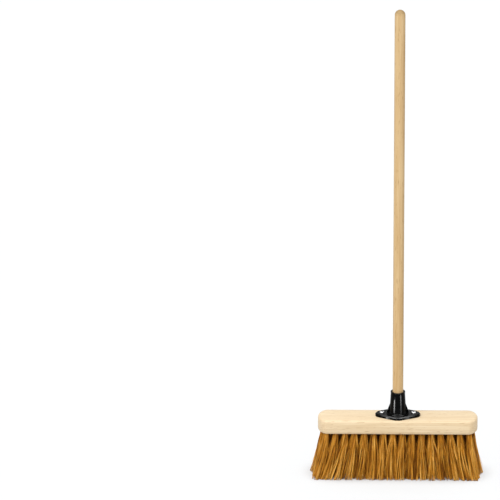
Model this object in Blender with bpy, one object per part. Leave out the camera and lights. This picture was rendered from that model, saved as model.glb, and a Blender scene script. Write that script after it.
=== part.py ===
"""Coconut fibre broom: a tufted wooden head, a moulded socket screwed on top, and a wooden handle.

X runs along the head, the front of the broom faces -Y, and +Z is up. The origin is on the floor,
under the middle of the head. Lengths are in metres.
"""

import math
import random

import bmesh
import bpy

MM = 0.001

# Fits
FIT_GAP = 0.3 * MM  # between pieces that seat on, in or against each other
CUT_OVERRUN = 2 * MM  # how far a cutter runs out past the face it opens

# Head block
BLOCK_LENGTH = 330 * MM
BLOCK_DEPTH = 66 * MM
BLOCK_THICKNESS = 30 * MM
BLOCK_END_ROUND = 21 * MM  # along the block, of its half-elliptical ends seen from above
BLOCK_EDGE_RADIUS = 4 * MM
BRISTLE_LENGTH = 96 * MM  # from the underside of the block to the floor

# Tuft holes, in three rows: the middle row has one tuft more than the outer two
OUTER_ROW_TUFTS = 16
MIDDLE_ROW_TUFTS = OUTER_ROW_TUFTS + 1
HOLE_WIDTH = 11.6 * MM  # across flats of the eight-sided hole
HOLE_WEB = 15 * MM  # wood left above the holes
ROW_MARGIN = 12 * MM  # from the middle of an outer row to the side of the block
OUTER_ROW_END_MARGIN = 17.25 * MM  # from the middle of the last hole to the end of the block
MIDDLE_ROW_END_MARGIN = 11.5 * MM

# Bristles: each tuft is a plug of packed fibre in its hole, and nine strands that spread below it
CORE_SHARE = 1 / 3  # of a tuft's width that its middle strand takes at the root
MERGE_GAP = 2.2 * MM  # between neighbouring tufts where they have spread and meet
TIP_GAP = 0.8 * MM  # between neighbouring tufts at the floor
MERGE_SHARE = 0.36  # of the bristle length: where the tufts meet
MERGE_FILL_SHARE = 0.86  # of its cell that a strand fills there
TIP_FILL_SHARE = 0.8  # of its cell that a strand fills at the floor
WANDER_SHARE = 0.8  # of the room that is left in its cell: how far a strand strays
END_SPLAY = 14 * MM  # how far the end tufts lean outwards at the floor
END_SPLAY_START_SHARE = 0.21  # of half the block's length: where the lean starts
END_SPLAY_FULL_SHARE = 0.76  # of half the block's length: where it is full
SIDE_SPLAY = 11.5 * MM  # how far the outer rows lean to the front and the back at the floor
SPLAY_POWER = 1.5  # the lean grows as this power of the way down
WANDER_SEED = 7

# Handle
HANDLE_DIAMETER = 22 * MM
HANDLE_LENGTH = 886 * MM
HANDLE_FOOT_CHAMFER = 1.5 * MM

# Socket
SOCKET_HEIGHT = 53.8 * MM
SOCKET_FLOOR = 3 * MM
RIM_WALL = 3.9 * MM  # of the lip round the mouth
TUBE_TOP_WALL = 3.6 * MM  # just under the lip
TUBE_BASE_WALL = 5.8 * MM  # where the flare at the foot of the tube starts
LIP_HEIGHT = 2.6 * MM
LIP_STEP = 0.5 * MM  # height of the slope from the tube out to the lip
MOUTH_CHAMFER = 0.8 * MM
FLARE_RADIUS = 3 * MM
RING_LEDGE = 6.6 * MM  # width of the raised ring, from the tube's foot outwards
RING_HEIGHT = 2 * MM
RING_CHAMFER = 0.8 * MM
FLANGE_THICKNESS = 6 * MM
FLANGE_LEDGE = 5.8 * MM  # from the raised ring to the front and back edges
FLANGE_FLAT = 12 * MM  # straight part of the front and back edges
FLANGE_END_RADIUS = 13.9 * MM
FLANGE_BEVEL = 2 * MM
GUSSET_THICKNESS = 3 * MM
GUSSET_HEIGHT = 23 * MM  # above the flange
GUSSET_ROOT = 0.8 * MM  # how far a gusset goes into the tube's wall

# Screws
SCREW_FROM_RING = 8.9 * MM  # from the raised ring to the middle of a screw
SCREW_TIP_WOOD = 3 * MM  # wood left between a screw's hole and the depth of the tuft holes
SHANK_DIAMETER = 4.4 * MM
SHANK_POINT = 3.5 * MM
HEAD_DIAMETER = 9.6 * MM
HEAD_HEIGHT = 3.1 * MM
HEAD_RIM = 0.9 * MM  # height of the head's straight side
RECESS_SPAN = 6 * MM
RECESS_WIDTH = 1.6 * MM
RECESS_DEPTH = 1.7 * MM
RECESS_FLOOR_SHARE = 0.6  # of the recess's size at its mouth
SCREW_TURNS = {"left_screw": math.radians(20), "right_screw": math.radians(-35)}

# Facets
ROUND_SIDES = 32
SCREW_SIDES = 16
BLOCK_END_STEPS = 24
BLOCK_EDGE_STEPS = 3
FLANGE_END_STEPS = 10
FLARE_STEPS = 3
DOME_STEPS = 5
SMOOTH_ANGLE = math.radians(40)

# Levels and places that follow from the sizes above
BLOCK_TOP = BRISTLE_LENGTH + BLOCK_THICKNESS
HOLE_DEPTH = BLOCK_THICKNESS - HOLE_WEB
OUTER_ROW_OFFSET = BLOCK_DEPTH / 2 - ROW_MARGIN
PLUG_WIDTH = HOLE_WIDTH - 2 * FIT_GAP
FLANGE_BOTTOM = BLOCK_TOP + FIT_GAP
FLANGE_TOP = FLANGE_BOTTOM + FLANGE_THICKNESS
RIM_TOP = FLANGE_BOTTOM + SOCKET_HEIGHT
BORE_RADIUS = HANDLE_DIAMETER / 2 + FIT_GAP
BORE_FLOOR = FLANGE_BOTTOM + SOCKET_FLOOR
TUBE_BASE_RADIUS = BORE_RADIUS + TUBE_BASE_WALL
TUBE_TOP_RADIUS = BORE_RADIUS + TUBE_TOP_WALL
RING_RADIUS = TUBE_BASE_RADIUS + RING_LEDGE
RING_TOP = FLANGE_TOP + RING_HEIGHT
LIP_BOTTOM = RIM_TOP - LIP_HEIGHT
SCREW_OFFSET = RING_RADIUS + SCREW_FROM_RING
SHANK_LENGTH = FLANGE_THICKNESS + FIT_GAP + HOLE_WEB - SCREW_TIP_WOOD
SCREW_HOLE_RADIUS = SHANK_DIAMETER / 2 + FIT_GAP


def clear_scene():
    for thing in list(bpy.data.objects):
        bpy.data.objects.remove(thing, do_unlink=True)


def make_material(name, colour, roughness, metallic=0.0):
    material = bpy.data.materials.new(name)
    material.use_nodes = True
    shader = material.node_tree.nodes["Principled BSDF"]
    shader.inputs["Base Color"].default_value = (*colour, 1.0)
    shader.inputs["Roughness"].default_value = roughness
    shader.inputs["Metallic"].default_value = metallic
    return material


def add_object(name, mesh, material=None):
    thing = bpy.data.objects.new(name, mesh)
    bpy.context.collection.objects.link(thing)
    if material is not None:
        mesh.materials.append(material)
    return thing


def finish_mesh(name, bm, smooth=True):
    """Turn a bmesh into a mesh whose faces point outwards, with its round faces shaded smooth."""
    bmesh.ops.recalc_face_normals(bm, faces=bm.faces)
    mesh = bpy.data.meshes.new(name)
    bm.to_mesh(mesh)
    bm.free()
    if smooth:
        mesh.shade_smooth()
        mesh.set_sharp_from_angle(angle=SMOOTH_ANGLE)
    return mesh


def hide_helper(thing):
    thing.hide_render = True
    thing.display_type = "WIRE"
    return thing


def combine(thing, helper, operation):
    """Join a hidden helper to a piece, or cut it out of it."""
    modifier = thing.modifiers.new(f"{operation.lower()} {helper.name}", "BOOLEAN")
    modifier.operation = operation
    modifier.solver = "EXACT"
    modifier.object = helper


def prism(bm, outline, bottom, top):
    """Extrude a closed outline of (x, y) points from one level to another, and return its top face."""
    base = bm.faces.new([bm.verts.new((x, y, bottom)) for x, y in outline])
    raised = bmesh.ops.extrude_face_region(bm, geom=[base])["geom"]
    moved = [item for item in raised if isinstance(item, bmesh.types.BMVert)]
    bmesh.ops.translate(bm, verts=moved, vec=(0, 0, top - bottom))
    return next(item for item in raised if isinstance(item, bmesh.types.BMFace))


def prism_mesh(name, outline, bottom, top):
    bm = bmesh.new()
    prism(bm, outline, bottom, top)
    return finish_mesh(name, bm)


def join_rings(bm, lower, upper):
    """Faces between two rings of vertices, where a ring of one vertex is a point."""
    sides = max(len(lower), len(upper))
    for side in range(sides):
        after = (side + 1) % sides
        corners = [lower[side % len(lower)], lower[after % len(lower)]]
        corners += [upper[after % len(upper)], upper[side % len(upper)]]
        bm.faces.new(list(dict.fromkeys(corners)))


def turned_mesh(name, profile, sides, centre=(0, 0)):
    """Turn a profile of (radius, height) points, listed from its foot to its top, into a closed solid."""
    bm = bmesh.new()
    rings = []
    for radius, height in profile:
        if radius == 0:
            rings.append([bm.verts.new((*centre, height))])
            continue
        ring = []
        for side in range(sides):
            turn = 2 * math.pi * side / sides
            x, y = centre[0] + radius * math.cos(turn), centre[1] + radius * math.sin(turn)
            ring.append(bm.verts.new((x, y, height)))
        rings.append(ring)
    for lower, upper in zip(rings, rings[1:]):
        join_rings(bm, lower, upper)
    for ring in (rings[0], rings[-1]):
        if len(ring) > 1:
            bm.faces.new(ring)
    return finish_mesh(name, bm)


def arc(centre, radius, start, end, steps):
    """Points along an arc, both ends included."""
    turns = [start + (end - start) * step / steps for step in range(steps + 1)]
    return [(centre[0] + radius * math.cos(turn), centre[1] + radius * math.sin(turn)) for turn in turns]


def row_places(count, end_margin, y):
    """Middles of the holes in one row, evenly spaced between its two end holes."""
    first = end_margin - BLOCK_LENGTH / 2
    pitch = (BLOCK_LENGTH - 2 * end_margin) / (count - 1)
    return [(first + pitch * place, y) for place in range(count)], pitch


def tuft_rows():
    """Name, hole middles and pitch of each row."""
    return {
        "front": row_places(OUTER_ROW_TUFTS, OUTER_ROW_END_MARGIN, -OUTER_ROW_OFFSET),
        "middle": row_places(MIDDLE_ROW_TUFTS, MIDDLE_ROW_END_MARGIN, 0),
        "rear": row_places(OUTER_ROW_TUFTS, OUTER_ROW_END_MARGIN, OUTER_ROW_OFFSET),
    }


def octagon(half_width):
    """Corners of an eight-sided section, from its half width across flats, anticlockwise."""
    reach = half_width / math.cos(math.pi / 8)
    turns = [math.pi / 8 + math.pi / 4 * corner for corner in range(8)]
    return [(reach * math.cos(turn), reach * math.sin(turn)) for turn in turns]


def block_outline():
    """Straight long sides and half-elliptical ends."""
    outline = []
    for side in (1, -1):
        for step in range(BLOCK_END_STEPS + 1):
            turn = math.pi * (step / BLOCK_END_STEPS - 1 / 2)
            x = BLOCK_LENGTH / 2 - BLOCK_END_ROUND * (1 - math.cos(turn))
            outline.append((side * x, side * BLOCK_DEPTH / 2 * math.sin(turn)))
    return outline


def make_block(material):
    """The wooden stock: rounded, with blind tuft holes below and two screw holes above."""
    mesh = prism_mesh("block", block_outline(), BRISTLE_LENGTH, BLOCK_TOP)
    block = add_object("block", mesh, material)
    rounding = block.modifiers.new("eased edges", "BEVEL")
    rounding.width = BLOCK_EDGE_RADIUS
    rounding.segments = BLOCK_EDGE_STEPS
    rounding.limit_method = "ANGLE"
    rounding.angle_limit = math.radians(60)

    bm = bmesh.new()
    for places, _ in tuft_rows().values():
        for x, y in places:
            outline = [(x + dx, y + dy) for dx, dy in octagon(HOLE_WIDTH / 2)]
            prism(bm, outline, BRISTLE_LENGTH - CUT_OVERRUN, BRISTLE_LENGTH + HOLE_DEPTH)
    combine(block, hide_helper(add_object("tuft_holes", finish_mesh("tuft_holes", bm))), "DIFFERENCE")

    bottom = FLANGE_TOP - SHANK_LENGTH
    for side in (-1, 1):
        profile = [(SCREW_HOLE_RADIUS, bottom), (SCREW_HOLE_RADIUS, BLOCK_TOP + CUT_OVERRUN)]
        name = f"block_screw_hole_{side + 2}"
        mesh = turned_mesh(name, profile, SCREW_SIDES, (side * SCREW_OFFSET, 0))
        combine(block, hide_helper(add_object(name, mesh)), "DIFFERENCE")


def splay(x, y, way):
    """Where a point of the bristle field goes as the tufts lean outwards, part of the way down."""
    half_length = BLOCK_LENGTH / 2
    start, full = END_SPLAY_START_SHARE * half_length, END_SPLAY_FULL_SHARE * half_length
    ramp = min(max((abs(x) - start) / (full - start), 0), 1)
    lean = way**SPLAY_POWER
    along = math.copysign(END_SPLAY * ramp * ramp * (3 - 2 * ramp), x)
    across = SIDE_SPLAY * y / OUTER_ROW_OFFSET
    return x + along * lean, y + across * lean


def strand_cells():
    """The nine cells of an eight-sided section of half width 1: a square, four sides, four corners."""
    rim = octagon(1)
    core = [(x * CORE_SHARE, y * CORE_SHARE) for x, y in ((1, 1), (-1, 1), (-1, -1), (1, -1))]
    cells = [core]
    for quarter in range(4):
        inner, after = core[quarter], core[(quarter + 1) % 4]
        first, second, third = (rim[(2 * quarter + step) % 8] for step in range(3))
        cells.append([first, second, inner])
        cells.append([second, third, after, inner])
    return cells


def middle_of(points):
    return tuple(sum(values) / len(points) for values in zip(*points))


def tuft_levels(pitch):
    """Way down, spread of the tuft along and across, and how much of its cell each strand fills."""
    levels = []
    for way, gap, fill in ((MERGE_SHARE, MERGE_GAP, MERGE_FILL_SHARE), (1, TIP_GAP, TIP_FILL_SHARE)):
        levels.append((way, (pitch - gap) / PLUG_WIDTH, (OUTER_ROW_OFFSET - gap) / PLUG_WIDTH, fill))
    return levels


def make_tuft(name, place, pitch, rng, material):
    """A plug of packed fibre that fills its hole, and the strands that spread from it to the floor."""
    bm = bmesh.new()
    half = PLUG_WIDTH / 2
    roots = {}

    def root_vertex(corner):
        """The vertex at a corner of a cell in the hole's mouth, shared by the cells that meet there."""
        key = tuple(round(value, 9) for value in corner)
        if key not in roots:
            x, y = place[0] + corner[0] * half, place[1] + corner[1] * half
            roots[key] = bm.verts.new((x, y, BRISTLE_LENGTH))
        return roots[key]

    for cell in strand_cells():
        ring = [root_vertex(corner) for corner in cell]
        middle = middle_of(cell)
        for way, along, across, fill in tuft_levels(pitch):
            room = (1 - fill) * WANDER_SHARE * CORE_SHARE
            stray = (rng.uniform(-room, room), rng.uniform(-room, room))
            centre = splay(
                place[0] + (middle[0] + stray[0]) * along * half,
                place[1] + (middle[1] + stray[1]) * across * half,
                way,
            )
            below = []
            for corner in cell:
                x = centre[0] + (corner[0] - middle[0]) * fill * along * half
                y = centre[1] + (corner[1] - middle[1]) * fill * across * half
                below.append(bm.verts.new((x, y, BRISTLE_LENGTH * (1 - way))))
            join_rings(bm, ring, below)
            ring = below
        bm.faces.new(ring)

    mouth = [root_vertex(corner) for corner in octagon(1)]
    plug_top = BRISTLE_LENGTH + HOLE_DEPTH - FIT_GAP
    lid = [bm.verts.new((vertex.co.x, vertex.co.y, plug_top)) for vertex in mouth]
    join_rings(bm, mouth, lid)
    bm.faces.new(lid)
    add_object(name, finish_mesh(name, bm, smooth=False), material)


def make_tufts(material):
    rng = random.Random(WANDER_SEED)
    for row, (places, pitch) in tuft_rows().items():
        for number, place in enumerate(places, start=1):
            make_tuft(f"tuft_{row}_{number:02d}", place, pitch, rng, material)


def flange_outline():
    """Straight front and back edges, round ends about the screws, and straight slopes between them."""
    flat, edge = FLANGE_FLAT / 2, RING_RADIUS + FLANGE_LEDGE
    towards_corner = math.atan2(edge, flat - SCREW_OFFSET)
    reach = math.hypot(edge, flat - SCREW_OFFSET)
    tangent = towards_corner - math.acos(FLANGE_END_RADIUS / reach)
    outline = arc((SCREW_OFFSET, 0), FLANGE_END_RADIUS, -tangent, tangent, FLANGE_END_STEPS)
    outline += [(flat, edge), (-flat, edge)]
    start, end = math.pi - tangent, math.pi + tangent
    outline += arc((-SCREW_OFFSET, 0), FLANGE_END_RADIUS, start, end, FLANGE_END_STEPS)
    outline += [(-flat, -edge), (flat, -edge)]
    return outline


def flange_mesh():
    bm = bmesh.new()
    top = prism(bm, flange_outline(), FLANGE_BOTTOM, FLANGE_TOP)
    bmesh.ops.recalc_face_normals(bm, faces=bm.faces)
    bmesh.ops.bevel(bm, geom=list(top.edges), offset=FLANGE_BEVEL, segments=1, affect="EDGES")
    return finish_mesh("flange", bm)


def tube_profile():
    """Outside of the moulding, from inside the flange up to the mouth."""
    flare_end = RING_TOP + FLARE_RADIUS
    flare_centre = TUBE_BASE_RADIUS + FLARE_RADIUS
    profile = [
        (RING_RADIUS, FLANGE_BOTTOM + FLANGE_THICKNESS / 2),
        (RING_RADIUS, RING_TOP - RING_CHAMFER),
        (RING_RADIUS - RING_CHAMFER, RING_TOP),
    ]
    profile += arc((flare_centre, flare_end), FLARE_RADIUS, math.pi * 3 / 2, math.pi, FLARE_STEPS)
    profile += [
        (TUBE_TOP_RADIUS, LIP_BOTTOM - LIP_STEP),
        (BORE_RADIUS + RIM_WALL, LIP_BOTTOM),
        (BORE_RADIUS + RIM_WALL, RIM_TOP - MOUTH_CHAMFER / 2),
        (BORE_RADIUS + RIM_WALL - MOUTH_CHAMFER / 2, RIM_TOP),
    ]
    return profile


def tube_radius(height):
    """Outer radius of the tapered tube at a height above its flare."""
    foot, head = RING_TOP + FLARE_RADIUS, LIP_BOTTOM - LIP_STEP
    share = (height - foot) / (head - foot)
    return TUBE_BASE_RADIUS + (TUBE_TOP_RADIUS - TUBE_BASE_RADIUS) * share


def gusset_mesh():
    """One rib across the tube, which shows as a triangular gusset on each side of it."""
    top = FLANGE_TOP + GUSSET_HEIGHT
    foot, head = RING_RADIUS - RING_CHAMFER, tube_radius(top) - GUSSET_ROOT
    corners = [(-foot, FLANGE_TOP), (foot, FLANGE_TOP), (foot, RING_TOP)]
    corners += [(head, top), (-head, top), (-foot, RING_TOP)]
    bm = bmesh.new()
    front = bm.faces.new([bm.verts.new((x, -GUSSET_THICKNESS / 2, z)) for x, z in corners])
    raised = bmesh.ops.extrude_face_region(bm, geom=[front])["geom"]
    moved = [item for item in raised if isinstance(item, bmesh.types.BMVert)]
    bmesh.ops.translate(bm, verts=moved, vec=(0, GUSSET_THICKNESS, 0))
    return finish_mesh("gussets", bm)


def make_socket(material):
    """The moulded handle holder: flange, raised ring, tube and gussets in one, with a blind bore."""
    socket = add_object("socket", flange_mesh(), material)
    tube = turned_mesh("socket_tube", tube_profile(), ROUND_SIDES)
    combine(socket, hide_helper(add_object("socket_tube", tube)), "UNION")
    combine(socket, hide_helper(add_object("socket_gussets", gusset_mesh())), "UNION")

    mouth = BORE_RADIUS + MOUTH_CHAMFER
    bore_profile = [
        (BORE_RADIUS, BORE_FLOOR),
        (BORE_RADIUS, RIM_TOP - MOUTH_CHAMFER),
        (mouth, RIM_TOP),
        (mouth, RIM_TOP + CUT_OVERRUN),
    ]
    bore = turned_mesh("socket_bore", bore_profile, ROUND_SIDES)
    combine(socket, hide_helper(add_object("socket_bore", bore)), "DIFFERENCE")

    for side in (-1, 1):
        low, high = FLANGE_BOTTOM - CUT_OVERRUN, FLANGE_TOP + CUT_OVERRUN
        profile = [(SCREW_HOLE_RADIUS, low), (SCREW_HOLE_RADIUS, high)]
        name = f"socket_screw_hole_{side + 2}"
        mesh = turned_mesh(name, profile, SCREW_SIDES, (side * SCREW_OFFSET, 0))
        combine(socket, hide_helper(add_object(name, mesh)), "DIFFERENCE")


def make_screw(name, x, turn, material):
    """A pan head screw with a cross recess, modelled about its own axis under its head."""
    head, shank = HEAD_DIAMETER / 2, SHANK_DIAMETER / 2
    dome = HEAD_HEIGHT - HEAD_RIM
    profile = [(0, -SHANK_LENGTH), (shank, SHANK_POINT - SHANK_LENGTH), (shank, 0)]
    profile += [(head, 0), (head, HEAD_RIM)]
    for step in range(1, DOME_STEPS):
        rise = math.pi / 2 * step / DOME_STEPS
        profile.append((head * math.cos(rise), HEAD_RIM + dome * math.sin(rise)))
    profile.append((0, HEAD_HEIGHT))
    screw = add_object(name, turned_mesh(name, profile, SCREW_SIDES), material)
    screw.location = (x, 0, FLANGE_TOP + FIT_GAP)
    screw.rotation_euler = (0, 0, turn)

    arm, half = RECESS_SPAN / 2, RECESS_WIDTH / 2
    quarter = [(arm, half), (half, half), (half, arm), (-half, arm)]
    cross = list(quarter)
    for _ in range(3):
        quarter = [(-y, x) for x, y in quarter]
        cross += quarter
    bm = bmesh.new()
    top = prism(bm, list(dict.fromkeys(cross)), HEAD_HEIGHT - RECESS_DEPTH, HEAD_HEIGHT + CUT_OVERRUN)
    floor = [vertex for vertex in bm.verts if vertex not in set(top.verts)]
    bmesh.ops.scale(bm, verts=floor, vec=(RECESS_FLOOR_SHARE, RECESS_FLOOR_SHARE, 1))
    recess = hide_helper(add_object(f"{name}_recess", finish_mesh(f"{name}_recess", bm)))
    recess.parent = screw
    combine(screw, recess, "DIFFERENCE")


def make_handle(material):
    """A straight dowel with a domed top and an eased foot, which slides up out of its socket."""
    radius = HANDLE_DIAMETER / 2
    profile = [(radius - HANDLE_FOOT_CHAMFER, 0), (radius, HANDLE_FOOT_CHAMFER)]
    for step in range(DOME_STEPS):
        rise = math.pi / 2 * step / DOME_STEPS
        profile.append((radius * math.cos(rise), HANDLE_LENGTH - radius + radius * math.sin(rise)))
    profile.append((0, HANDLE_LENGTH))
    handle = add_object("handle", turned_mesh("handle", profile, ROUND_SIDES), material)
    handle.location = (0, 0, BORE_FLOOR + FIT_GAP)


def main():
    clear_scene()
    block_wood = make_material("block_wood", (0.78, 0.60, 0.37), 0.6)
    handle_wood = make_material("handle_wood", (0.66, 0.42, 0.20), 0.5)
    coir = make_material("coir", (0.42, 0.20, 0.04), 0.8)
    black_plastic = make_material("black_plastic", (0.012, 0.012, 0.013), 0.35)
    steel = make_material("steel", (0.75, 0.75, 0.76), 0.25, metallic=1.0)

    make_block(block_wood)
    make_tufts(coir)
    make_socket(black_plastic)
    for side, (name, turn) in zip((-1, 1), SCREW_TURNS.items()):
        make_screw(name, side * SCREW_OFFSET, turn, steel)
    make_handle(handle_wood)


main()
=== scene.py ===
"""Looks of the coconut fibre broom: fibre tufts, timber, moulded plastic and steel around the fixed frame.

Metres throughout, in the frame's own axes: X along the head, the front faces -Y, and +Z is up.
"""

import math

import bpy
import numpy as np
from mathutils import Matrix, Vector


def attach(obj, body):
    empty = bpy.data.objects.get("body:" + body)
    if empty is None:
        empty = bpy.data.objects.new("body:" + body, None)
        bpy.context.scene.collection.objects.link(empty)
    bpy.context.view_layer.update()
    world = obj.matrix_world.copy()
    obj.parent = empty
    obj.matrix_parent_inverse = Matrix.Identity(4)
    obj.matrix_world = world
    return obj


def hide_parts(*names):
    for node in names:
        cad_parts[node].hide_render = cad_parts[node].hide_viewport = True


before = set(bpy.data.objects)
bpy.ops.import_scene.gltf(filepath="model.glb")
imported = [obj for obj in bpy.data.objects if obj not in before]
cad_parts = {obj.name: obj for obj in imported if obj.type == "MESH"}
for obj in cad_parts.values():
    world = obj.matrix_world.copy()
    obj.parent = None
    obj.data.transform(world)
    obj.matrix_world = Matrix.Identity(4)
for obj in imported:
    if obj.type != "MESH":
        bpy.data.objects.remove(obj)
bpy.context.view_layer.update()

MM = 0.001
WHITE = (1, 1, 1)
BLACK = (0, 0, 0)

# Camera: a long lens from far away, aimed a little left of the broom, as the photograph frames it
CAMERA_DISTANCE = 20.0
CAMERA_ELEVATION = math.radians(21.0)
CAMERA_YAW = math.radians(0.9375)
CAMERA_AIM_HEIGHT = 0.4914
CAMERA_LENS_MM = 701.0
SENSOR_MM = 36.0
CAMERA_SIGHT = 4 * CAMERA_DISTANCE  # how far the camera sees

# Light. A lamp's azimuth counts from the front of the broom (-Y) towards +X, so the picture's left is
# negative, and its elevation from the floor
WORLD_STRENGTH = 0.5
KEY_STRENGTH = 2.4
KEY_SPREAD = math.radians(50)
KEY_ELEVATION = math.radians(55)
KEY_AZIMUTH = math.radians(-20)
# Weak lamps from the sides, for all but the handle, the socket and the floor: azimuth and strength
FILL_LAMPS = {"left_fill": (math.radians(-80), 0.3), "right_fill": (math.radians(75), 0.55)}
FILL_ELEVATION = math.radians(5)
FILL_SPREAD = math.radians(50)
# Lamps that only show in the gloss of the pieces named last: azimuth, elevation, distance, width, height
# and power
GLOSS_LAMPS = {
    "left_strip": (math.radians(-50), math.radians(-15), 0.04, 0.01, 0.057, 0.0075, ("socket",)),
    "right_strip": (math.radians(46), math.radians(-15), 0.06, 0.016, 0.085, 0.0058, ("socket",)),
    "left_panel": (math.radians(-58), math.radians(60), 1.0, 0.4, 0.4, 12.0, ("socket",)),
    "right_panel": (math.radians(58), math.radians(60), 1.0, 0.4, 0.4, 16.0, ("socket",)),
    "top_panel": (0, math.radians(69), 1.0, 0.9, 0.2, 11.0, ("socket",)),
    "back_sheet": (math.radians(180), math.radians(21), 2.5, 1.6, 0.8, 4.0, ("block",)),
}
GLOSS_LAMP_AIM = (0, 0, 0.15)  # point that all but the strips face
GLOSS_LAMP_SPREAD = math.radians(180)
STRIP_SPREAD = math.radians(24)  # narrow, so that a strip reaches one side of the tube only
STRIP_AIMS = {  # points on the tube's front that the strips face
    "left_strip": (-0.0065, -0.014, 0.1374),
    "right_strip": (0.0058, -0.0144, 0.1335),
}
FLOOR_SIDE = 12.0
# The floor's lamp is overhead and lights nothing else, so that the broom's shadow stays close to it
FLOOR_LAMP_ELEVATION = math.radians(90)
FLOOR_LAMP_STRENGTH = 7.1
FLOOR_LAMP_SPREAD = math.radians(36)
FLOOR_GLOW = 0.04  # of the floor's white that it gives off itself, which keeps its shadow pale
FLOOR_SHADE = (0.35, 0.354, 0.358)  # a trace of blue against the warm light that the broom throws on it
FLOOR_SHADE_TO_OBJECT = 0.24  # its grey for the light that it throws back up

# Solids: shading of their round faces
SHARP_ANGLE = math.radians(32)  # edges that turn by more stay sharp
SAME_POINT = 0.001 * MM  # corners of the faces this close are one point

NOISE_RANGE = (0.3, 0.7)  # part of a noise's range that a surface's roughness runs over

# Timber of each wooden piece: the axis of its length, its colours, the tint of its end grain, the width of
# a growth ring, and its roughness and specular level
TIMBERS = {
    "block": {
        "along": 0,
        "pale": (0.88, 0.722, 0.493),
        "middle": (0.80, 0.635, 0.41),
        "dark": (0.54, 0.35, 0.17),
        "end_tint": (0.98, 0.96, 0.94),
        "ring_width": 4.5 * MM,
        "roughness": 0.55,
        "specular": 0.5,
    },
    "handle": {
        "along": 2,
        "pale": (0.80, 0.59, 0.325),
        "middle": (0.655, 0.435, 0.205),
        "dark": (0.40, 0.23, 0.09),
        "end_tint": (0.64, 0.62, 0.57),
        "ring_width": 2.6 * MM,
        "roughness": 0.6,
        "specular": 0.2,
    },
}
# Patterns in all timber: their scales along the piece and across it, and where their colours lie on them
RING_STRETCH = (0.12, 1)
RING_SHIFT = (0.06, -0.035)  # across the piece: how far its origin lies off the axis of the rings
RING_BEND = 6.0
RING_STOPS = [(0.0, WHITE), (0.72, (0.97, 0.95, 0.92)), (1.0, (0.86, 0.79, 0.70))]
RING_STRENGTH = 0.75
WAVE_RADIANS = 20  # phase of a wave texture over a metre, at scale 1
GRAIN_STRETCH = (9, 620)
GRAIN_STOPS = [(0.36, (0.84, 0.76, 0.66)), (0.52, WHITE)]
GRAIN_STRENGTH = 0.55
GRAIN_DEPTH = 0.12 * MM
GRAIN_ROUGHNESS = (0.08, -0.05)  # added to the timber's roughness, in the dark lines and between them
STREAK_STRETCH = (5, 90)
STREAK_PLACES = (0.32, 0.62)  # all middle colour and all pale
FLECK_STRETCH = (55, 900)
FLECK_STOPS = [(0.66, BLACK), (0.74, WHITE)]
PATCH_STRETCH = (4, 14)
PATCH_STOPS = [(0.35, (0.95, 0.92, 0.87)), (0.6, WHITE)]
PATCH_STRENGTH = 0.8
END_GRAIN_SHARES = (0.1, 0.6)  # of a face's direction along the grain: none and all of the end tint

# Moulded plastic
PLASTIC_CLOUD_STRETCH = (90, 90, 90)
PLASTIC_STOPS = [(0.35, (0.0012, 0.0012, 0.0013)), (0.7, (0.0025, 0.0025, 0.0027))]
PLASTIC_ROUGHNESS = (0.13, 0.19)
PLASTIC_GRAIN_STRETCH = (2200, 2200, 2200)
PLASTIC_GRAIN_DEPTH = 0.0005 * MM
PLASTIC_SPECULAR = 0.04

# Steel of the screws
STEEL_MARK_STRETCH = (900, 900, 2600)
STEEL_STOPS = [(0.3, (0.62, 0.62, 0.62)), (0.7, (0.86, 0.86, 0.85))]
STEEL_ROUGHNESS = (0.18, 0.34)
STEEL_MARK_DEPTH = 0.02 * MM
# A screw's recess has painted shade below its lip, as far out as it reaches, and all over its middle, the
# metal there included, so that it shows from afar
RECESS_REACH = 3.05 * MM
RECESS_LIP = 0.55 * MM
RECESS_MIDDLE = 2.4 * MM
RECESS_PAINTED_SHADE = (0.04, 0.04, 0.04)

# Coconut fibre
COIR_STREAK_STRETCH = (900, 900, 60)
COIR_STREAK_MIDDLE = 0.5  # value of the streaks' noise that leaves a fibre's shade as it is
COIR_STREAK_STRENGTH = 0.5
COIR_STOPS = [
    (0.0, (0.12, 0.035, 0.003)),
    (0.35, (0.50, 0.19, 0.014)),
    (0.7, (0.82, 0.375, 0.038)),
    (1.0, (1.0, 0.60, 0.14)),
]
COIR_STREAK_DEPTH = 0.05 * MM
COIR_ROUGHNESS = 0.5
COIR_SPECULAR = 0.15

# Levels of a tuft's solid: decimals of their heights, and how far off a height its points may be
LEVEL_DECIMALS = 5
LEVEL_TOLERANCE = 0.02 * MM

# Fibres of a tuft. Places across it are shares of its half width
FIBRES_PER_TUFT = 400
FIBRE_SIDES = 3
FIBRE_STEPS = 10  # points of a fibre from the root to the floor, besides the one deep in the hole
FIBRE_RADIUS = 0.25 * MM
FIBRE_RADIUS_SPREAD_SHARE = 0.25
FIBRE_TURN = 2.4  # radians from one fibre's corners to the next one's
TAPER_START_SHARE = 0.5  # of the fibre: from there on it gets thinner
TIP_RADIUS_SHARE = 0.8
SEATS_SHARE = 0.97  # how far out the fibres sit in the hole
CLUMPS_PER_TUFT = 60
CLUMPS_SHARE = 0.86  # how far out the middles of the clumps sit
SHAKE_SHARE = 0.5  # how far points on a disc are shaken, before the square root of their count divides it
FLARE_ALONG_SHARE = 1.9  # of the tuft solid's half width at the floor
FLARE_END_SHARE = 1.1  # the same for the tufts at the ends of the head
FLARE_END_PLACES = (110 * MM, 150 * MM)  # from the middle of the head: where that change starts and ends
FLARE_ACROSS_SHARE = 1.35
FLARE_POWER = 0.88  # the tuft widens as this power of the way down
REACH_SHARE = 1.1  # of that flared half width: how far out fibres go, before waves and leans
TRIM_SHARE = 0.85  # of the half width across: the flat front and back of the trimmed bristles at the floor
CLUMP_FULL_SHARE = 0.6  # of the way down: where the fibres of a clump are as close as they get
CLUMP_PULL_SHARE = 0.68  # of a fibre's distance from its clump that is gone there
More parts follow.
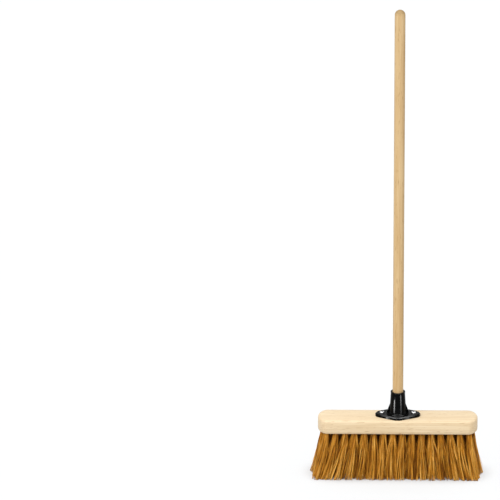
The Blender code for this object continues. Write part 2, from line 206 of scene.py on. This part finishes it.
CLUMP_PULL_SPREAD_SHARES = (0.75, 1.15)  # of that pull: the least and the most
TIP_RELEASE_SHARE = 0.3  # of that pull that is gone again at the floor, where the tips fan out
CLUMP_WANDER_SHARE = 0.55  # how far a clump's tip is off its place
FIBRE_WANDER_SHARE = 0.04  # how far a fibre's tip is off its place in the clump
FIBRE_WANDER_POWER = 1.6  # it grows as this power of the way down
STRAY_SHARE = 0.03  # of the fibres: those that leave their clump
STRAY_PULL_SHARE = 0.2  # the same as the pull above, for strays
STRAY_LEAN_SHARE = 0.35  # how much further off its place a stray's tip is
STRAY_REACH_SHARE = 1.2  # the same as the reach above, for strays
STRAY_SHORT = 12 * MM  # the most that a stray ends above the others
CLUMP_UNEVEN = 0.48 * MM  # the most that a clump ends above the floor
FIBRE_UNEVEN = 0.4 * MM  # the most that a fibre ends above its clump
CLUMP_WAVE = 0.7 * MM
CLUMP_WAVE_TURN = 5.5  # radians of a clump's wave between the root and the floor
FIBRE_WAVE = 0.3 * MM
FIBRE_WAVE_TURNS = (4, 11)  # radians of a fibre's wave: the least and the most
WAVE_GROWTH = 2.5  # the waves have their full size after one part in this of the way down
FIELD_LEAN = -2.4 * MM  # how far the tips of the whole field lean along X
FAN_PLACES = (0, 60 * MM, 115 * MM, 150 * MM)  # from the middle of the head
FAN_LEANS = (0, 2 * MM, 8 * MM, 1 * MM)  # how far tips there lean outwards, besides the lean of the solid
LEAN_POWER = 1.3  # both leans grow as this power of the way down
FIBRE_SEED = 11

# Shades of the fibres, from 0 for the darkest to 1 for the lightest, shade painted deep in the field and at
# the clumps' edges included
BASE_SHADE = 0.757
SHADE_RANGE = (0.02, 0.98)
SHADE_KNOTS = 6  # places along a fibre or clump that each have a shade of their own
CLUMP_SHADE_SPREAD = 0.26
FIBRE_SHADE_SPREAD = 0.14
STRAY_SHADE = 0.2  # how much lighter the strays are
PAINTED_CLUMP_EDGE_SHADE = 0.5  # painted shade and light between strands: how much darker the outermost fibres of a clump are painted than its middle
PAINTED_DEPTH_SHADE = 0.36  # painted shade: how much darker fibres are painted in the depth of the field than on its outside
DEPTH_FULL = 8 * MM  # how deep they are as dark as that
FIELD_SIDES = 48  # directions in which the field's outside is looked for
FIELD_EDGE_SHARE = 0.998  # of the fibres that lie within that outside
TIP_LENGTH_SHARE = 0.015  # of the fibre: the very tip, which the painted depth shade leaves out
BAKE_MAP = "OFBake"  # map for a tuft's colours, with a patch for each fibre

# Sockets of a mix node that mixes colours
MIX_FACTOR, MIX_FIRST, MIX_SECOND = 0, 6, 7
MIX_RESULT = 2


def node(tree, kind, inputs=None, **settings):
    """Add a node, set its properties, and set or link its inputs by name or number."""
    made = tree.nodes.new(kind)
    for name, value in settings.items():
        setattr(made, name, value)
    for name, value in (inputs or {}).items():
        if isinstance(value, bpy.types.NodeSocket):
            tree.links.new(value, made.inputs[name])
        else:
            made.inputs[name].default_value = value
    return made


def new_material(name):
    material = bpy.data.materials.new(name)
    material.use_nodes = True
    return material, material.node_tree, material.node_tree.nodes["Principled BSDF"]


def rgba(colour):
    """A plain colour as its socket takes it; an output stays as it is."""
    return (*colour, 1.0) if isinstance(colour, tuple) else colour


def ramp(tree, factor, stops):
    """A colour ramp over (position, colour) stops."""
    stops = list(stops)
    made = node(tree, "ShaderNodeValToRGB", {"Fac": factor})
    elements = made.color_ramp.elements
    while len(elements) < len(stops):
        elements.new(0.5)  # its place is set below
    for element, (position, colour) in zip(elements, stops):
        element.position = position
        element.color = rgba(colour)
    return made.outputs["Color"]


def mix_colours(tree, kind, factor, first, second):
    inputs = {MIX_FACTOR: factor, MIX_FIRST: rgba(first), MIX_SECOND: rgba(second)}
    return node(tree, "ShaderNodeMix", inputs, data_type="RGBA", blend_type=kind).outputs[MIX_RESULT]


def stretched(tree, scale, offset=(0, 0, 0)):
    """Object coordinates, scaled along each axis and then moved."""
    coordinates = node(tree, "ShaderNodeTexCoord").outputs["Object"]
    inputs = {"Vector": coordinates, "Location": offset, "Scale": scale}
    return node(tree, "ShaderNodeMapping", inputs, vector_type="POINT").outputs["Vector"]


def noise(tree, vector, detail=3.0, roughness=0.55):
    inputs = {"Vector": vector, "Scale": 1.0, "Detail": detail, "Roughness": roughness}
    return node(tree, "ShaderNodeTexNoise", inputs).outputs["Fac"]


def bump(tree, height, distance):
    return node(tree, "ShaderNodeBump", {"Height": height, "Distance": distance}).outputs["Normal"]


def maths(tree, operation, *values):
    """One step of arithmetic on numbers or outputs."""
    return node(tree, "ShaderNodeMath", dict(enumerate(values)), operation=operation).outputs[0]


def between(tree, value, low, high, start=0.0, end=1.0):
    """From low to high as the value goes from start to end."""
    inputs = {"Value": value, "From Min": start, "From Max": end, "To Min": low, "To Max": high}
    return node(tree, "ShaderNodeMapRange", inputs).outputs["Result"]


def wood_material(name, along, pale, middle, dark, end_tint, ring_width, roughness, specular):
    """Planed timber: growth rings about an axis along the piece, fine grain, and short darker flecks."""
    material, tree, shader = new_material(name)
    first, second = (axis for axis in range(3) if axis != along)

    def scaled(lengthwise, crosswise, offset=(0, 0, 0)):
        scale = [crosswise] * 3
        scale[along] = lengthwise
        return stretched(tree, tuple(scale), offset)

    shift = [0.0, 0.0, 0.0]
    shift[first], shift[second] = RING_SHIFT
    rings = node(
        tree,
        "ShaderNodeTexWave",
        {
            "Vector": scaled(*RING_STRETCH, tuple(shift)),
            "Scale": 2 * math.pi / (WAVE_RADIANS * ring_width),
            "Distortion": RING_BEND,
            "Detail": 2.0,
            "Detail Scale": 0.25,
        },
        wave_type="RINGS",
        rings_direction="XYZ"[along],
        wave_profile="SAW",
    ).outputs["Fac"]
    grain = noise(tree, scaled(*GRAIN_STRETCH), detail=4.0, roughness=0.65)
    streaks = noise(tree, scaled(*STREAK_STRETCH), detail=3.0)
    flecks = noise(tree, scaled(*FLECK_STRETCH), detail=1.0)
    patches = noise(tree, scaled(*PATCH_STRETCH), detail=2.0)

    base = ramp(tree, streaks, zip(STREAK_PLACES, (middle, pale)))
    base = mix_colours(tree, "MULTIPLY", RING_STRENGTH, base, ramp(tree, rings, RING_STOPS))
    base = mix_colours(tree, "MULTIPLY", GRAIN_STRENGTH, base, ramp(tree, grain, GRAIN_STOPS))
    base = mix_colours(tree, "MIX", ramp(tree, flecks, FLECK_STOPS), base, dark)
    base = mix_colours(tree, "MULTIPLY", PATCH_STRENGTH, base, ramp(tree, patches, PATCH_STOPS))
    normal = node(tree, "ShaderNodeNewGeometry").outputs["Normal"]
    turn = maths(tree, "ABSOLUTE", node(tree, "ShaderNodeSeparateXYZ", {"Vector": normal}).outputs[along])
    end_grain = ramp(tree, turn, zip(END_GRAIN_SHARES, (WHITE, end_tint)))
    base = mix_colours(tree, "MULTIPLY", 1.0, base, end_grain)
    tree.links.new(base, shader.inputs["Base Color"])
    low, high = (roughness + change for change in GRAIN_ROUGHNESS)
    tree.links.new(between(tree, grain, low, high, *NOISE_RANGE), shader.inputs["Roughness"])
    tree.links.new(bump(tree, grain, GRAIN_DEPTH), shader.inputs["Normal"])
    shader.inputs["Specular IOR Level"].default_value = specular
    return material


def plastic_material():
    """Black injection-moulded plastic, slightly uneven, with a fine satin surface."""
    material, tree, shader = new_material("moulded_plastic")
    cloud = noise(tree, stretched(tree, PLASTIC_CLOUD_STRETCH), detail=3.0)
    tree.links.new(ramp(tree, cloud, PLASTIC_STOPS), shader.inputs["Base Color"])
    rough = between(tree, cloud, *PLASTIC_ROUGHNESS, *NOISE_RANGE)
    tree.links.new(rough, shader.inputs["Roughness"])
    grain = noise(tree, stretched(tree, PLASTIC_GRAIN_STRETCH), detail=2.0)
    tree.links.new(bump(tree, grain, PLASTIC_GRAIN_DEPTH), shader.inputs["Normal"])
    shader.inputs["Specular IOR Level"].default_value = PLASTIC_SPECULAR
    return material


def solid_points(name):
    """Corners of a CAD solid."""
    return np.array([tuple(vertex.co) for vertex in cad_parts[name].data.vertices])


def steel_material(name):
    """Bright zinc-plated steel with faint turning marks, and shade painted dark into its recess."""
    points = solid_points(name)
    middle, top = (points.min(0) + points.max(0)) / 2, points[:, 2].max()
    material, tree, shader = new_material(f"{name}_steel")
    marks = noise(tree, stretched(tree, STEEL_MARK_STRETCH), detail=3.0)
    plate = ramp(tree, marks, STEEL_STOPS)

    from_axis = stretched(tree, (1, 1, 0), (-middle[0], -middle[1], 0))
    radius = node(tree, "ShaderNodeVectorMath", {0: from_axis}, operation="LENGTH").outputs["Value"]
    height = node(tree, "ShaderNodeSeparateXYZ", {0: stretched(tree, (1, 1, 1))}).outputs["Z"]
    # painted shade: the recess below its lip and the whole middle of the head are coloured dark
    near = maths(tree, "LESS_THAN", radius, RECESS_REACH)
    below = maths(tree, "LESS_THAN", height, top - RECESS_LIP)
    in_middle = maths(tree, "LESS_THAN", radius, RECESS_MIDDLE)
    painted_shade_mask = maths(tree, "MAXIMUM", maths(tree, "MULTIPLY", near, below), in_middle)
    tree.links.new(mix_colours(tree, "MIX", painted_shade_mask, plate, RECESS_PAINTED_SHADE), shader.inputs["Base Color"])
    rough = between(tree, marks, *STEEL_ROUGHNESS, *NOISE_RANGE)
    tree.links.new(rough, shader.inputs["Roughness"])
    tree.links.new(bump(tree, marks, STEEL_MARK_DEPTH), shader.inputs["Normal"])
    shader.inputs["Metallic"].default_value = 1.0
    return material


def coir_material():
    """Coconut fibre: each fibre has its own shade, painted shade included, streaked and spotted along its
    length.
    """
    material, tree, shader = new_material("coconut_fibre")
    shade = node(tree, "ShaderNodeAttribute", attribute_name="shade").outputs["Fac"]
    streak = noise(tree, stretched(tree, COIR_STREAK_STRETCH), detail=2.0)
    off_middle = maths(tree, "SUBTRACT", streak, COIR_STREAK_MIDDLE)
    blend = maths(tree, "MULTIPLY_ADD", off_middle, COIR_STREAK_STRENGTH, shade)
    tree.links.new(ramp(tree, blend, COIR_STOPS), shader.inputs["Base Color"])
    tree.links.new(bump(tree, streak, COIR_STREAK_DEPTH), shader.inputs["Normal"])
    shader.inputs["Roughness"].default_value = COIR_ROUGHNESS
    shader.inputs["Specular IOR Level"].default_value = COIR_SPECULAR
    return material


def tuft_levels(name):
    """From a tuft's solid: the height, middle and half widths of its outline at each level, top first."""
    points = solid_points(name)
    levels = []
    for height in np.unique(np.round(points[:, 2], LEVEL_DECIMALS))[::-1]:
        ring = points[np.abs(points[:, 2] - height) < LEVEL_TOLERANCE]
        low, high = ring[:, :2].min(0), ring[:, :2].max(0)
        levels.append((height, (low + high) / 2, (high - low) / 2))
    return levels


def through_three(ways, values, way):
    """The parabola through three values, at each place on the way down."""
    total = 0
    for here in range(3):
        first, second = (other for other in range(3) if other != here)
        weight = (way - ways[first]) * (way - ways[second])
        weight = weight / ((ways[here] - ways[first]) * (ways[here] - ways[second]))
        total = total + weight[..., None] * values[here]
    return total


def disc_points(rng, count):
    """Points spread evenly over a disc of radius 1, a golden turn apart and slightly shaken."""
    order = np.arange(count) + 0.5
    turn = order * math.pi * (3 - math.sqrt(5)) + rng.uniform(0, 2 * math.pi)
    reach = np.sqrt(order / count)
    points = np.stack([reach * np.cos(turn), reach * np.sin(turn)], axis=1)
    return points + rng.normal(0, SHAKE_SHARE / math.sqrt(count), points.shape)


def smooth(value):
    """Ease in and out as the value goes from 0 to 1."""
    value = np.clip(value, 0, 1)
    return value * value * (3 - 2 * value)


def shades_along(rng, count, steps, spread):
    """Shades that change smoothly between a few places along each of the fibres or clumps."""
    knots = np.linspace(0, 1, SHADE_KNOTS)
    weights = np.clip(1 - np.abs(steps[:, None] - knots[None]) * (SHADE_KNOTS - 1), 0, 1)
    return rng.normal(0, spread, (count, SHADE_KNOTS)) @ weights.T


def painted_depth_shades(paths):
    """Painted shade: how much darker each point of the fibres is painted for lying deep in the field, but
    not at the very tip.
    """
    turns = 2 * math.pi * np.arange(FIELD_SIDES) / FIELD_SIDES
    directions = np.stack([np.cos(turns), np.sin(turns)])
    reach = paths[..., :2] @ directions
    edge = np.quantile(reach, FIELD_EDGE_SHARE, axis=0)
    depth = (edge[None] - reach).min(axis=2)
    depth[:, -1] = 0
    return PAINTED_DEPTH_SHADE * smooth(depth / DEPTH_FULL)


def fibre_paths(name, rng):
    """Centre lines of a tuft's fibres, from deep in its hole to the floor, and their shades."""
    (lid, lid_middle, lid_half), *below = tuft_levels(name)
    root_height = below[0][0]
    ways = [1 - height / root_height for height, _, _ in below]
    middles = [middle for _, middle, _ in below]
    halves = [half for _, _, half in below]
    from_centre = abs(lid_middle[0])

    # Fibres and clumps
    seats = disc_points(rng, FIBRES_PER_TUFT) * SEATS_SHARE
    clumps = disc_points(rng, CLUMPS_PER_TUFT) * CLUMPS_SHARE
    clump_of = np.argmin(((seats[:, None] - clumps[None]) ** 2).sum(2), axis=1)
    clump_tips = clumps + rng.normal(0, CLUMP_WANDER_SHARE, clumps.shape)
    clump_foot = rng.uniform(0, CLUMP_UNEVEN, CLUMPS_PER_TUFT)
    clump_phase = rng.uniform(0, 2 * math.pi, (CLUMPS_PER_TUFT, 2))
    stray = rng.random(FIBRES_PER_TUFT) < STRAY_SHARE
    tip_offset = rng.normal(0, FIBRE_WANDER_SHARE, seats.shape)
    tip_offset += stray[:, None] * rng.normal(0, STRAY_LEAN_SHARE, seats.shape)
    pull = CLUMP_PULL_SHARE * rng.uniform(*CLUMP_PULL_SPREAD_SHARES, FIBRES_PER_TUFT)
    pull = np.where(stray, STRAY_PULL_SHARE, pull)

    # Way down, and the tuft's middle and half widths along it
    steps = np.append(np.linspace(0, 1 - TIP_LENGTH_SHARE, FIBRE_STEPS - 1), 1)
    way = steps[None, :] * np.ones((FIBRES_PER_TUFT, 1))
    middle = through_three(ways, middles, way)
    flare_along = np.interp(from_centre, FLARE_END_PLACES, [FLARE_ALONG_SHARE, FLARE_END_SHARE])
    tip_half = halves[2] * (flare_along, FLARE_ACROSS_SHARE)
    half = halves[0] + (tip_half - halves[0]) * (way**FLARE_POWER)[..., None]

    # Places across the tuft
    draw = smooth(way / CLUMP_FULL_SHARE)
    draw = draw - TIP_RELEASE_SHARE * np.clip((way - CLUMP_FULL_SHARE) / (1 - CLUMP_FULL_SHARE), 0, 1)
    draw = (draw * pull[:, None])[..., None]
    place = seats[:, None] * (1 - draw) + clump_tips[clump_of][:, None] * draw
    place = place + tip_offset[:, None] * (way**FIBRE_WANDER_POWER)[..., None]
    reach = np.where(stray, STRAY_REACH_SHARE, REACH_SHARE)[:, None, None]
    place = place / np.maximum(np.linalg.norm(place, axis=2, keepdims=True) / reach, 1)
    trim = 1 - (1 - TRIM_SHARE) * way
    place[..., 1] = np.clip(place[..., 1], -trim, trim)
    xy = middle + place * half

    # Waves and leans
    wave = np.sin(way[..., None] * CLUMP_WAVE_TURN + clump_phase[clump_of][:, None]) * CLUMP_WAVE
    phase = rng.uniform(0, 2 * math.pi, (FIBRES_PER_TUFT, 1, 2))
    turn = rng.uniform(*FIBRE_WAVE_TURNS, (FIBRES_PER_TUFT, 1, 1))
    wave = wave + np.sin(way[..., None] * turn + phase) * FIBRE_WAVE
    xy = xy + (wave - wave[:, :1]) * smooth(way * WAVE_GROWTH)[..., None]
    fan = math.copysign(np.interp(from_centre, FAN_PLACES, FAN_LEANS), lid_middle[0])
    xy[..., 0] += (FIELD_LEAN + fan) * way**LEAN_POWER

    # Heights, and the upper ends deep in the hole
    foot = clump_foot[clump_of] + rng.uniform(0, FIBRE_UNEVEN, FIBRES_PER_TUFT)
    foot = foot + stray * rng.uniform(0, STRAY_SHORT, FIBRES_PER_TUFT)
    z = root_height + (foot[:, None] - root_height) * way
    paths = np.concatenate([xy, z[..., None]], axis=2)
    lid_xy = lid_middle + seats * lid_half
    heads = np.concatenate([lid_xy, np.full((FIBRES_PER_TUFT, 1), lid)], axis=1)
    paths = np.concatenate([heads[:, None], paths], axis=1)

    # Shades: each clump painted darker at its edge and lighter in its middle, as shade and light between
    # the strands
    off_middle = np.linalg.norm(seats - clumps[clump_of], axis=1) * math.sqrt(CLUMPS_PER_TUFT)
    shade = BASE_SHADE + stray * STRAY_SHADE + PAINTED_CLUMP_EDGE_SHADE * (0.5 - np.clip(off_middle, 0, 1))
    shade = shade[:, None] + shades_along(rng, CLUMPS_PER_TUFT, steps, CLUMP_SHADE_SPREAD)[clump_of]
    shade = shade + shades_along(rng, FIBRES_PER_TUFT, steps, FIBRE_SHADE_SPREAD)
    return paths, np.concatenate([shade[:, :1], shade], axis=1)


def side_turns():
    """Angles of a tube's corners about its middle."""
    return 2 * math.pi * np.arange(FIBRE_SIDES) / FIBRE_SIDES


def bake_places(count, steps):
    """Places of the tubes' corners on the map: a patch for each, its walls in rows between two caps."""
    columns = math.ceil(math.sqrt(count * FIBRE_SIDES / 2))
    rows = math.ceil(count / columns)
    step, side = np.meshgrid(np.arange(1, steps), np.arange(FIBRE_SIDES), indexing="ij")
    across = (side[..., None] + (0, 1, 1, 0)) / FIBRE_SIDES
    down = (step[..., None] + (0, 0, 1, 1)) / (steps + 1)
    turns = side_turns()
    cap = np.stack([(1 + np.cos(turns)) / 2, (1 + np.sin(turns)) / 2 / (steps + 1)], axis=1)
    walls = np.stack([across, down], axis=3).reshape(-1, 2)
    patch = np.stack([np.arange(count) % columns, np.arange(count) // columns], axis=1)[:, None]
    parts = (walls, cap[::-1], cap + (0, steps / (steps + 1)))
    return np.concatenate([((patch + part) / (columns, rows)).reshape(-1, 2) for part in parts])


def tube_mesh(name, paths, radii, shades):
    """One mesh of closed tubes, one along each path, with a shade on each tube's points."""
    count, steps, _ = paths.shape
    along = np.gradient(paths, axis=1)
    along /= np.linalg.norm(along, axis=2, keepdims=True)
    side = np.cross(along, (0.0, 1.0, 0.0))
    side /= np.linalg.norm(side, axis=2, keepdims=True)
    other = np.cross(along, side)
    start = np.arange(count)[:, None] * FIBRE_TURN
    turns = (side_turns()[None, :] + start)[:, None, :, None]
    ring = side[:, :, None] * np.cos(turns) + other[:, :, None] * np.sin(turns)
    points = paths[:, :, None] + ring * radii[:, :, None, None]
    points[..., 2] = np.maximum(points[..., 2], 0)
    index = np.arange(count * steps * FIBRE_SIDES).reshape(count, steps, FIBRE_SIDES)
    after = np.roll(index, -1, axis=2)
    walls = np.stack([index[:, :-1], after[:, :-1], after[:, 1:], index[:, 1:]], axis=3).reshape(-1, 4)
    caps = np.concatenate([index[:, 0, ::-1], index[:, -1]])
    mesh = bpy.data.meshes.new(name)
    mesh.from_pydata(points.reshape(-1, 3).tolist(), [], walls.tolist() + caps.tolist())
    mesh.uv_layers.new(name=BAKE_MAP).uv.foreach_set("vector", bake_places(count, steps).ravel())
    mesh.shade_smooth()
    shade = mesh.attributes.new("shade", "FLOAT", "POINT")
    shade.data.foreach_set("value", np.repeat(shades.ravel(), FIBRE_SIDES))
    return mesh


def make_fibres(name, paths, shades, rng, material):
    """Dress one tuft: single fibres take the place of its solid."""
    steps = paths.shape[1]
    radius = FIBRE_RADIUS * (1 + rng.uniform(-1, 1, FIBRES_PER_TUFT) * FIBRE_RADIUS_SPREAD_SHARE)
    places = [0, steps * TAPER_START_SHARE, steps - 1]
    taper = np.interp(np.arange(steps), places, [1, 1, TIP_RADIUS_SHARE])
    mesh = tube_mesh(f"{name}_fibres", paths, radius[:, None] * taper[None, :], shades)
    mesh.materials.append(material)
    piece = bpy.data.objects.new(f"{name}_fibres", mesh)
    bpy.context.collection.objects.link(piece)
    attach(piece, "head")
    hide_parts(name)


def make_all_fibres():
    rng = np.random.default_rng(FIBRE_SEED)
    material = coir_material()
    names = [name for name in sorted(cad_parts) if name.startswith("tuft_")]
    paths, shades = (np.array(kind) for kind in zip(*(fibre_paths(name, rng) for name in names)))
    # painted shade deep inside the field of fibres, where real shade falls between the tufts
    darker = painted_depth_shades(paths.reshape(-1, *paths.shape[2:])).reshape(shades.shape)
    shades = np.clip(shades - darker, *SHADE_RANGE)
    for name, path, shade in zip(names, paths, shades):
        make_fibres(name, path, shade, rng, material)


def smooth_shading():
    """Nodes that shade a solid's round faces smooth and move nothing: edges that turn stay sharp."""
    tree = bpy.data.node_groups.new("smooth_shading", "GeometryNodeTree")
    for way in ("INPUT", "OUTPUT"):
        tree.interface.new_socket("Geometry", in_out=way, socket_type="NodeSocketGeometry")
    turn = node(tree, "GeometryNodeInputMeshEdgeAngle").outputs["Unsigned Angle"]
    flat = node(tree, "FunctionNodeCompare", {"A": turn, "B": SHARP_ANGLE}, operation="LESS_THAN")
    steps = (
        ("GeometryNodeMergeByDistance", {"Distance": SAME_POINT}, {}),
        ("GeometryNodeRemoveAttribute", {"Name": "custom_normal"}, {}),
        ("GeometryNodeSetShadeSmooth", {"Shade Smooth": True}, {"domain": "FACE"}),
        ("GeometryNodeSetShadeSmooth", {"Shade Smooth": flat.outputs[0]}, {"domain": "EDGE"}),
    )
    solid = tree.nodes.new("NodeGroupInput").outputs[0]
    for kind, inputs, settings in steps:
        solid = node(tree, kind, {"Geometry": solid, **inputs}, **settings).outputs[0]
    tree.links.new(solid, tree.nodes.new("NodeGroupOutput").inputs[0])
    return tree


def dress(name, material, shading):
    """Give a CAD node its procedural material and the smooth shading of its round faces."""
    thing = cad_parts[name]
    thing.data.materials.clear()
    thing.data.materials.append(material)
    thing.modifiers.new("smooth_shading", "NODES").node_group = shading


def dress_solids():
    shading = smooth_shading()
    for name, timber in TIMBERS.items():
        dress(name, wood_material(f"{name}_timber", **timber), shading)
    dress("socket", plastic_material(), shading)
    for name in ("left_screw", "right_screw"):
        dress(name, steel_material(name), shading)


def white_to_camera(tree):
    """1 for rays that show the background directly, in gloss or through glass, else 0."""
    path = node(tree, "ShaderNodeLightPath").outputs
    seen = maths(tree, "MAXIMUM", path["Is Camera Ray"], path["Is Glossy Ray"])
    return maths(tree, "MAXIMUM", seen, path["Is Transmission Ray"])


def make_world():
    """White where it is seen, and dimmer as a light."""
    world = bpy.data.worlds.new("studio")
    world.use_nodes = True
    tree = world.node_tree
    background = tree.nodes["Background"]
    background.inputs["Color"].default_value = rgba(WHITE)
    level = between(tree, white_to_camera(tree), WORLD_STRENGTH, 1.0)
    tree.links.new(level, background.inputs["Strength"])
    bpy.context.scene.world = world


def make_floor():
    """A white floor that keeps the broom's shadow; it throws less light back up than it shows."""
    half = FLOOR_SIDE / 2
    mesh = bpy.data.meshes.new("floor")
    corners = [(-half, -half, 0), (half, -half, 0), (half, half, 0), (-half, half, 0)]
    mesh.from_pydata(corners, [], [(0, 1, 2, 3)])
    material, tree, shader = new_material("white_floor")
    colour = mix_colours(tree, "MIX", white_to_camera(tree), (FLOOR_SHADE_TO_OBJECT,) * 3, FLOOR_SHADE)
    tree.links.new(colour, shader.inputs["Base Color"])
    shader.inputs["Emission Color"].default_value = rgba(WHITE)
    shader.inputs["Emission Strength"].default_value = FLOOR_GLOW
    shader.inputs["Roughness"].default_value = 1.0
    shader.inputs["Specular IOR Level"].default_value = 0.0
    mesh.materials.append(material)
    floor = bpy.data.objects.new("floor", mesh)
    bpy.context.collection.objects.link(floor)
    return floor


def around(azimuth, elevation):
    """Direction from the broom, azimuth from its front (-Y) towards +X."""
    flat = math.cos(elevation)
    return Vector((math.sin(azimuth) * flat, -math.cos(azimuth) * flat, math.sin(elevation)))


def light_only(lamp, pieces, state="INCLUDE"):
    """Let a lamp light these pieces only, or all pieces but these."""
    receivers = bpy.data.collections.new(f"{lamp.name}_receivers")
    for piece in pieces:
        receivers.objects.link(piece)
    for entry in receivers.collection_objects:
        entry.light_linking.link_state = state
    lamp.light_linking.receiver_collection = receivers
    return receivers


def make_sun(name, azimuth, elevation, strength, spread):
    light = bpy.data.lights.new(name, "SUN")
    light.energy = strength
    light.angle = spread
    sun = bpy.data.objects.new(name, light)
    sun.rotation_euler = around(azimuth, elevation).to_track_quat("Z", "Y").to_euler()
    bpy.context.collection.objects.link(sun)
    return sun


def make_lights(floor):
    key = make_sun("key", KEY_AZIMUTH, KEY_ELEVATION, KEY_STRENGTH, KEY_SPREAD)
    light_only(key, [floor], "EXCLUDE")
    overhead = make_sun("floor_lamp", 0, FLOOR_LAMP_ELEVATION, FLOOR_LAMP_STRENGTH, FLOOR_LAMP_SPREAD)
    light_only(overhead, [floor])
    for name, (azimuth, strength) in FILL_LAMPS.items():
        fill = make_sun(name, azimuth, FILL_ELEVATION, strength, FILL_SPREAD)
        light_only(fill, [floor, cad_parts["handle"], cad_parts["socket"]], "EXCLUDE")
    for name, (azimuth, elevation, distance, width, height, power, lit) in GLOSS_LAMPS.items():
        light = bpy.data.lights.new(name, "AREA")
        light.shape = "RECTANGLE"
        light.size, light.size_y = width, height
        light.spread = STRIP_SPREAD if name in STRIP_AIMS else GLOSS_LAMP_SPREAD
        light.energy = power
        lamp = bpy.data.objects.new(name, light)
        way = around(azimuth, elevation)
        lamp.location = way * distance + Vector(STRIP_AIMS.get(name, GLOSS_LAMP_AIM))
        lamp.rotation_euler = way.to_track_quat("Z", "Y").to_euler()
        lamp.visible_diffuse = False
        lamp.visible_camera = False
        lamp.light_linking.blocker_collection = light_only(lamp, [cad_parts[piece] for piece in lit])
        bpy.context.collection.objects.link(lamp)


def make_camera():
    data = bpy.data.cameras.new("camera")
    data.sensor_width = SENSOR_MM
    data.lens = CAMERA_LENS_MM
    data.clip_end = CAMERA_SIGHT
    camera = bpy.data.objects.new("camera", data)
    back = around(0, CAMERA_ELEVATION)
    turn = Matrix.Rotation(CAMERA_YAW, 4, "Z") @ back.to_track_quat("Z", "Y").to_matrix().to_4x4()
    place = Vector((0, 0, CAMERA_AIM_HEIGHT)) + back * CAMERA_DISTANCE
    camera.matrix_world = Matrix.Translation(place) @ turn
    bpy.context.collection.objects.link(camera)
    bpy.context.scene.camera = camera


bpy.context.scene.view_settings.view_transform = "Standard"
make_camera()
make_world()
make_lights(make_floor())
dress_solids()
make_all_fibres()
